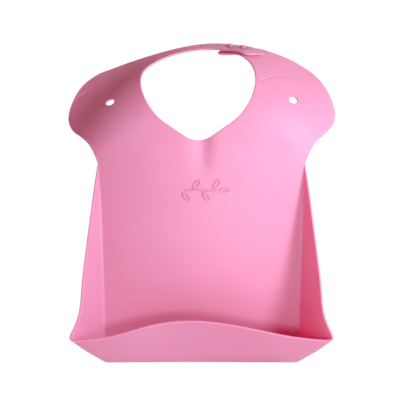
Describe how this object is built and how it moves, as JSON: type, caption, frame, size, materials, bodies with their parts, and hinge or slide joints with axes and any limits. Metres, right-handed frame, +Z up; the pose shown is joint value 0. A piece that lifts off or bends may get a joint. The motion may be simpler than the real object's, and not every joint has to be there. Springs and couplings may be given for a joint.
{
  "type": "silicone bib",
  "caption": "Moulded silicone baby bib with a scoop pocket, side gussets, and neck straps that button together at the back.",
  "frame": {"origin": "the middle of the neck opening, where the bib is worn", "axes": "+Z up along the chest, -Y out of the bib's front face, +X to the right as seen from the front"},
  "size_m": [0.2349, 0.128, 0.2783],
  "materials": {
    "silicone": "satin translucent pink silicone"
  },
  "bodies": {
    "bib": {"front_panel": "silicone", "left_wing": "silicone", "right_wing": "silicone", "raised_motif": "silicone"},
    "upper_strap": {"left_strap": "silicone"},
    "lower_strap": {"right_strap": "silicone", "closure_pegs": "silicone"},
    "pocket_wall": {"pocket_front": "silicone"},
    "pocket_side_left": {"left_gusset": "silicone"},
    "pocket_side_right": {"right_gusset": "silicone"}
  },
  "joints": [
    {"name": "upper_strap_lift", "type": "hinge", "parent": "bib", "child": "upper_strap", "pos_m": [-0.05328, 0.03015, 0.01987], "axis": [0.6213, -0.7828, -0.0341], "range_deg": [0, 75], "stiffness_Nm_per_rad": 0.1},
    {"name": "lower_strap_drop", "type": "hinge", "parent": "bib", "child": "lower_strap", "pos_m": [0.04678, 0.02394, 0.0241], "axis": [-0.6511, -0.7572, -0.0532], "range_deg": [0, 37.5], "stiffness_Nm_per_rad": 0.1},
    {"name": "pocket_fold", "type": "hinge", "parent": "bib", "child": "pocket_wall", "pos_m": [0, -0.0313, -0.2374], "axis": [-1, 0, 0], "range_deg": [0, 35], "stiffness_Nm_per_rad": 0.2},
    {"name": "left_gusset_fold", "type": "hinge", "parent": "bib", "child": "pocket_side_left", "pos_m": [-0.0847, -0.0291, -0.24], "axis": [0.0203, 0, -0.9998], "range_deg": [0, 35], "stiffness_Nm_per_rad": 0.05},
    {"name": "right_gusset_fold", "type": "hinge", "parent": "bib", "child": "pocket_side_right", "pos_m": [0.0847, -0.0291, -0.24], "axis": [0.0203, 0, 0.9998], "range_deg": [0, 35], "stiffness_Nm_per_rad": 0.05}
  ],
  "couplings": [
    {"joint": "lower_strap_drop", "follows": "upper_strap_lift", "ratio": 0.5},
    {"joint": "left_gusset_fold", "follows": "pocket_fold", "ratio": 1},
    {"joint": "right_gusset_fold", "follows": "pocket_fold", "ratio": 1}
  ]
}
